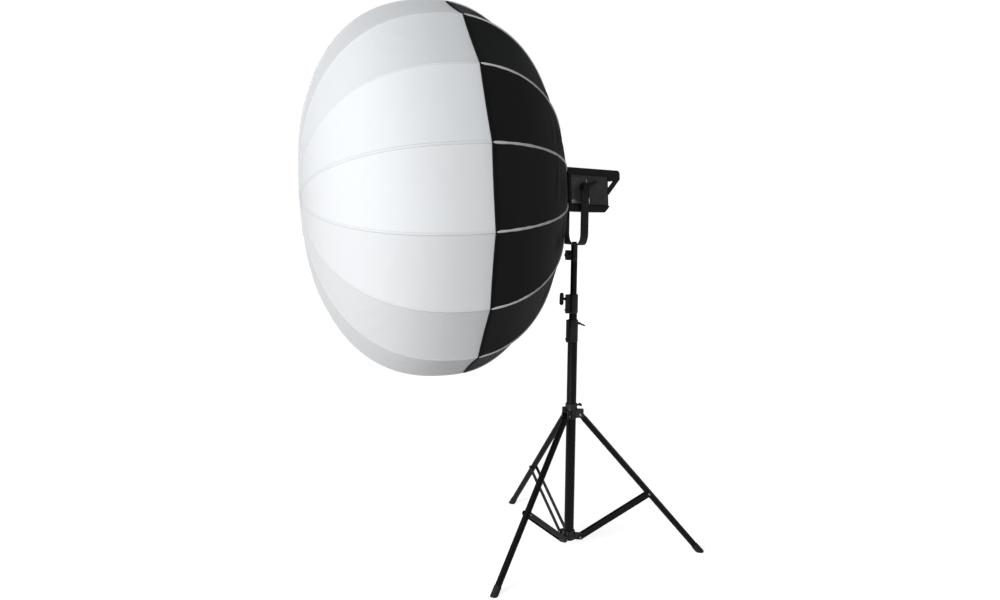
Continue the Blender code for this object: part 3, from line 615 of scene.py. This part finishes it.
def build_rear_cover(across, chance):
    mesh = panelled(np.linspace(EDGE_ARC, END_ARC, 134), across, black_folds, 8)
    black = piece("rear_cover", mesh, "black_cloth", "softbox", ["black_skirt"], HEAD, 0)
    hem_arcs = np.linspace(EDGE_ARC - 0.0004, EDGE_ARC + HEM_WIDTH, 7)
    hem = panelled(hem_arcs, across, lambda index, chance: [], 3, lift=0.0007)
    for loop in hem.uv_layers[0].data:
        loop.uv = (loop.uv[1], loop.uv[0] - EDGE_ARC - HEM_MIDDLE)
    hem = piece("skirt_hem", hem, "hem", "softbox", (), HEAD, 0)
    thick = hem.modifiers.new("cloth", "SOLIDIFY")
    thick.thickness, thick.offset = HEM_THICKNESS, 0
    start, end = EDGE_ARC + 0.001, END_ARC - 0.002
    bindings = joined([strip(i, start, end, 0.0036, 0.0030, chance, 0.09) for i in range(GORES)])
    bindings = piece("seam_bindings", bindings, "binding", "softbox", (), HEAD, 0)
    end_along, end_radius = (float(v) for v in rib_line(np.array(END_ARC))[:2])
    cuff = ring_of(end_radius - 0.0015, end_along, 0.0028, 0.05)
    cuff = piece("skirt_cuff", cuff, "black_cloth", "softbox", (), HEAD, 0)


def build_lantern():
    across = np.linspace(-1, 1, 25)
    chance = np.random.default_rng(11)
    build_front_cover(across, chance)
    build_rear_cover(across, chance)


# Lamp head


def bar_under(y):
    return BAR_TOP + TOP_SLOPE * (y - LAMP_FRONT) - BAR_THICKNESS


def rail_top(y):
    return RAIL_BOTTOM + BOTTOM_SLOPE * (y - LAMP_FRONT) + RAIL_THICKNESS


def side_corners(margin, border):
    """The corners of the lamp's side between its bars, as (y, z). They are this far in, and at the front by
    the border."""
    front, rear = LAMP_FRONT + 0.001 + border, LAMP_REAR - 0.001 - margin
    return [(front, rail_top(front) + margin), (rear, rail_top(rear) + margin),
            (rear, bar_under(rear) - margin), (front, bar_under(front) - margin)]


def diamond_mesh(corners, pitch, web, depth):
    """A sheet punched with diamonds, cut to a four-cornered outline. It lies in YZ, and faces +X."""
    bm = bmesh.new()
    ends = [(pitch / 2, 0), (0, pitch / 2), (-pitch / 2, 0), (0, -pitch / 2)]
    lows = [min(c[i] for c in corners) - pitch for i in (0, 1)]
    highs = [max(c[i] for c in corners) + pitch for i in (0, 1)]
    rows, columns = (math.ceil((highs[i] - lows[i]) / (pitch / 2)) for i in (1, 0))
    inner = 1 - web / pitch * 2
    for row in range(rows):
        for column in range(columns):
            if (row + column) % 2:
                continue
            y, z = lows[0] + column * pitch / 2, lows[1] + row * pitch / 2
            outer = [bm.verts.new((0, y + a, z + b)) for a, b in ends]
            hole = [bm.verts.new((0, y + a * inner, z + b * inner)) for a, b in ends]
            bridge(bm, outer, hole)
    bmesh.ops.remove_doubles(bm, verts=bm.verts, dist=1e-5)
    for i in range(4):
        a, b = Vector((0, *corners[i])), Vector((0, *corners[(i + 1) % 4]))
        away = (b - a).cross(Vector((1, 0, 0)))
        everything = bm.verts[:] + bm.edges[:] + bm.faces[:]
        bmesh.ops.bisect_plane(bm, geom=everything, plane_co=a, plane_no=away, clear_outer=True)
    thicken(bm, (-depth, 0, 0))
    return finished(bm)


def frame_mesh(outer, inner, depth, bevel):
    """A four-cornered frame in YZ, with a bevelled front."""
    bm = bmesh.new()
    bridge(bm, *([bm.verts.new((0, *corner)) for corner in corners] for corners in (outer, inner)))
    thicken(bm, (-depth, 0, 0))
    sharp = [edge for edge in bm.edges if edge.calc_face_angle(0) > 1]
    bmesh.ops.bevel(bm, geom=sharp, offset=bevel, segments=2, affect="EDGES", profile=0.7)
    return finished(bm)


def build_grilles():
    for side, name in ((1, "right"), (-1, "left")):
        flip = Matrix.Identity(4) if side > 0 else Matrix.Scale(-1, 4, (1, 0, 0))
        place = HEAD @ flip @ Matrix.Translation((GRILLE_OUTER - GRILLE_FRAME_PROUD, 0, 0))
        lattice = diamond_mesh(side_corners(0.0010, 0.0080), LATTICE_PITCH, LATTICE_WEB, LATTICE_DEPTH)
        outer, inner = side_corners(0.0, 0.0), side_corners(0.0018, 0.0090)
        border = frame_mesh(outer, inner, GRILLE_FRAME_DEPTH, GRILLE_FRAME_BEVEL)
        for mesh in (lattice, border):
            if side < 0:
                mesh.flip_normals()
        border.transform(Matrix.Translation((GRILLE_FRAME_PROUD, 0, 0)))
        node = f"side_grille_{name}"
        piece(f"grille_mesh_{name}", lattice, "lamp_mesh", "lamp_head", [node], place)
        piece(f"grille_frame_{name}", border, "lamp_casing", "lamp_head", (), place)


def screw_head():
    """A socket screw's head, along +X, with its hexagon."""
    bm = bmesh.new()
    around, rings = 24, []
    for radius, height, steps in ((1, 0, around), (1, 0.8, around), (0.88, 1, around),
                                  (0.52, 1, 6), (0.5, 0.35, 6)):
        r, x = SCREW_RADIUS * radius, SCREW_HEIGHT * height
        angles = [2 * math.pi * i / steps for i in range(steps)]
        rings.append([bm.verts.new((x, r * math.cos(a), r * math.sin(a))) for a in angles])
    base, side, rim, hexagon, socket = rings
    for first, second in ((base, side), (side, rim), (hexagon, socket)):
        bridge(bm, first, second)
    for i in range(around):
        j = (i + 1) % around
        near, far = hexagon[(i + 2) // 4 % 6], hexagon[(j + 2) // 4 % 6]
        bm.faces.new([rim[i], rim[j], far] + ([near] if near is not far else []))
    bm.faces.new(socket)
    bm.faces.new(base)
    return finished(bm)


def build_screws():
    """Small socket screws in the ends of the lamp's bars, both sides."""
    heads = []
    for side in (1, -1):
        flip = Matrix.Identity(4) if side > 0 else Matrix.Rotation(math.pi, 4, "Z")
        for y in (LAMP_FRONT + 0.012, LAMP_REAR - 0.020):
            for z in (bar_under(y) + BAR_THICKNESS / 2, rail_top(y) - RAIL_THICKNESS / 2):
                head = screw_head()
                head.transform(Matrix.Translation((side * (HANDLE_HALF - 0.0003), y, z)) @ flip)
                heads.append(head)
    piece("bar_screws", joined(heads), "screw", "lamp_head", (), HEAD)


def build_vents():
    """Louvres across the rear panel, above its controls."""
    bm = bmesh.new()
    tilt = Matrix.Rotation(LOUVRE_TILT, 3, "X")
    for i in range(LOUVRES):
        shape = bmesh.ops.create_cube(bm, size=1)["verts"]
        bmesh.ops.scale(bm, verts=shape, vec=LOUVRE_SIZE)
        bmesh.ops.rotate(bm, verts=shape, cent=(0, 0, 0), matrix=tilt)
        bmesh.ops.translate(bm, verts=shape, vec=(0, LAMP_REAR + 0.0007, LOWEST_LOUVRE + LOUVRE_PITCH * i))
    bmesh.ops.bevel(bm, geom=bm.edges[:], offset=0.0004, segments=2, affect="EDGES")
    piece("rear_louvres", finished(bm), "lamp_casing", "lamp_head", (), HEAD)


# Stand


def grooved_outline(radius, grooves, depth, half_width):
    """A round outline with shallow grooves in it."""
    points = []
    for i in range(96):
        angle = 2 * math.pi * i / 96
        nearest = min(abs((angle - g + math.pi) % (2 * math.pi) - math.pi) for g in grooves)
        inward = depth * max(0.0, 1 - (nearest * radius / half_width) ** 4)
        points.append(((radius - inward) * math.cos(angle), (radius - inward) * math.sin(angle)))
    return points


def leg_tube():
    """A leg's tube with two grooves along each flank, hanging from its hinge at the origin."""
    outline = grooved_outline(LEG_RADIUS, TUBE_GROOVES, 0.0011, 0.0016)
    bottom = -(LEG_LENGTH - TUBE_END)
    bm = bmesh.new()
    rings = []
    for z, shrink in ((TUBE_TOP, 0.93), (TUBE_TOP - TUBE_CHAMFER, 1.0), (bottom, 1.0)):
        rings.append([bm.verts.new((x * shrink, y * shrink, z)) for x, y in outline])
    for first, second in zip(rings, rings[1:]):
        bridge(bm, first, second)
    bm.faces.new(rings[0])
    bm.faces.new(rings[-1])
    return finished(bm)


def leg_tongue():
    """The leg's plug and its flat tongue, with the hinge's hole."""
    bm = bmesh.new()
    outline, hole = ([(radius * math.cos(a), radius * math.sin(a)) for a in angles]
                     for radius, angles in ((TONGUE_REACH, np.linspace(0, math.pi, 13)),
                                            (HINGE_HOLE, np.linspace(0, 2 * math.pi, 25)[:-1])))
    outline += [(-TONGUE_REACH, TONGUE_END), (TONGUE_REACH, TONGUE_END)]
    edges = []
    for points in (outline, hole):
        ring = [bm.verts.new((x, TONGUE_HALF_WIDTH, z)) for x, z in points]
        edges += [bm.edges.new((ring[i], ring[(i + 1) % len(ring)])) for i in range(len(ring))]
    bmesh.ops.triangle_fill(bm, edges=edges, use_beauty=True)
    thicken(bm, (0, -2 * TONGUE_HALF_WIDTH, 0))
    return finished(bm)


def leg_place(i):
    """A leg's own axes at rest: Z up along it from its foot, Y along its hinge."""
    joint = JOINTS[f"leg_{i}_fold"]
    hinge = Vector(joint["axis"])
    outward = hinge.cross(Vector((0, 0, 1)))
    turn = Matrix((outward, hinge, Vector((0, 0, 1)))).transposed().to_4x4()
    return Matrix.Translation(joint["pos_m"]) @ turn @ Matrix.Rotation(-LEG_SPREAD, 4, "Y")


def build_legs():
    for i in (1, 2, 3):
        place = leg_place(i)
        mesh = joined([leg_tube(), leg_tongue()])
        piece(f"leg_tube_{i}", mesh, "stand_tube", f"leg_{i}", [f"leg_{i}"], place)


def rivet_head(place, outward):
    """A low round head that faces outward."""
    bm = bmesh.new()
    bmesh.ops.create_uvsphere(bm, u_segments=16, v_segments=10, radius=1)
    turn = outward.to_track_quat("Z", "Y").to_matrix().to_4x4()
    bm.transform(Matrix.Translation(place) @ turn @ Matrix.Diagonal((*RIVET_SIZE, 1)))
    return finished(bm)


def build_rivets():
    """Bright rivets at both ends of each brace, and over the sliding collar's hinge pins."""
    for i in (1, 2, 3):
        leg, brace = JOINTS[f"leg_{i}_fold"], JOINTS[f"brace_{i}_swing"]
        hinge = Vector(leg["axis"])
        rivet = leg_place(i) @ Vector((0, 0, -LEG_LENGTH * BRACE_SHARE))
        groups = {"leg_collar": [(leg["pos_m"], COLLAR_RIVET_REACH)],
                  f"brace_{i}": [(brace["pos_m"], BRACE_RIVET_REACH), (rivet, BRACE_RIVET_REACH)]}
        for body, pins in groups.items():
            heads = [rivet_head(Vector(place) + side * reach * hinge, side * hinge)
                     for place, reach in pins for side in (1, -1)]
            piece(f"rivets_{body}_{i}", joined(heads), "pale_rivet", body, (), smooth=60)


# Studio


def build_camera():
    turn, level, roll = CAMERA_TURN, math.cos(CAMERA_DOWN), CAMERA_ROLL
    forward = Vector((-math.sin(turn) * level, math.cos(turn) * level, -math.sin(CAMERA_DOWN)))
    right = Vector((math.cos(turn), math.sin(turn), 0))
    up = right.cross(forward)
    right, up = (right * math.cos(roll) + up * math.sin(roll),
                 up * math.cos(roll) - right * math.sin(roll))
    data = bpy.data.cameras.new("camera")
    data.lens, data.sensor_width = CAMERA_LENS, CAMERA_SENSOR
    camera = bpy.data.objects.new("camera", data)
    bpy.context.scene.collection.objects.link(camera)
    turned = Matrix((right, up, -forward)).transposed().to_4x4()
    camera.matrix_world = Matrix.Translation(CAMERA_PLACE) @ turned
    bpy.context.scene.camera = camera


def area_light(name, place, target, size, power, colour=(1, 1, 1)):
    data = bpy.data.lights.new(name, "AREA")
    data.shape = "RECTANGLE"
    data.size, data.size_y = size
    data.energy, data.color = power, colour
    lamp = bpy.data.objects.new(name, data)
    lamp.visible_camera = False
    bpy.context.scene.collection.objects.link(lamp)
    lamp.location = place
    lamp.rotation_euler = (Vector(target) - Vector(place)).to_track_quat("-Z", "Y").to_euler()


def camera_only(obj):
    """Keeps a piece of the studio out of the light on the object."""
    obj.visible_diffuse = obj.visible_glossy = obj.visible_transmission = False


def build_floor():
    """White paper that the camera sees with the object's shadows. Its glow grows away from the object, so
    that it stays as pale where the lights don't reach."""
    surface = Surface("floor_paper", (0.90, 0.90, 0.90), 0.85, Specular_IOR_Level=0.0)
    distance = surface.node("VectorMath", operation="LENGTH", Vector=surface.place("Object")).outputs[1]
    glow = surface.node("MapRange", Value=distance, From_Min=1.5, From_Max=6.0, To_Min=0.75, To_Max=1.0)
    surface.put(surface.shader, "Emission Color", (1, 1, 1, 1))
    surface.put(surface.shader, "Emission Strength", glow.outputs[0])
    surface.vary_colour(surface.noise(3, 3), 0.995, 1.005)
    bm = bmesh.new()
    bmesh.ops.create_circle(bm, cap_ends=True, segments=96, radius=40)
    floor = bpy.data.objects.new("floor", finished(bm))
    floor.data.materials.append(surface.material)
    bpy.context.scene.collection.objects.link(floor)
    camera_only(floor)


def build_backdrop():
    """A plain white dome behind everything, which casts no shadow."""
    bm = bmesh.new()
    bmesh.ops.create_uvsphere(bm, u_segments=48, v_segments=24, radius=42)
    dome = bpy.data.objects.new("backdrop", finished(bm))
    surface = Surface("backdrop_white", (0, 0, 0), 1.0, Emission_Strength=1.0)
    surface.put(surface.shader, "Emission Color", (1, 1, 1, 1))
    dome.data.materials.append(surface.material)
    bpy.context.scene.collection.objects.link(dome)
    camera_only(dome)
    dome.visible_shadow = False


def build_world():
    """Soft light all round: dim and slightly cool from above, and brighter from below, as from pale paper."""
    world = bpy.data.worlds.new("studio")
    world.use_nodes = True
    tree = world.node_tree
    background = tree.nodes["Background"]
    height = tree.nodes.new("ShaderNodeSeparateXYZ")
    ramp = tree.nodes.new("ShaderNodeMapRange")
    shade = tree.nodes.new("ShaderNodeMix")
    shade.data_type = "RGBA"
    ramp.inputs["From Min"].default_value, ramp.inputs["From Max"].default_value = -0.35, 0.15
    shade.inputs[6].default_value = (*WORLD_LOW, 1)
    shade.inputs[7].default_value = (*WORLD_HIGH, 1)
    direction = tree.nodes.new("ShaderNodeTexCoord").outputs["Generated"]
    tree.links.new(direction, height.inputs[0])
    tree.links.new(height.outputs[2], ramp.inputs["Value"])
    tree.links.new(ramp.outputs[0], shade.inputs[0])
    tree.links.new(shade.outputs[2], background.inputs[0])
    bpy.context.scene.world = world


def build_studio():
    build_floor()
    build_backdrop()
    build_world()
    area_light("key", (2.9, -3.9, 1.65), (0, -0.35, 1.25), (1.6, 1.6), 190)
    area_light("overhead", (0.9, -1.2, 4.2), (0, -0.3, 1.0), (2.0, 2.0), 10, COOL)
    area_light("edge", (1.6, 3.4, 2.4), (0, 0.2, 1.2), (0.5, 1.8), 16)
    bpy.context.scene.view_settings.view_transform = "Standard"


dress_cad()
build_lantern()
build_grilles()
build_screws()
build_vents()
build_legs()
build_rivets()
build_camera()
build_studio()
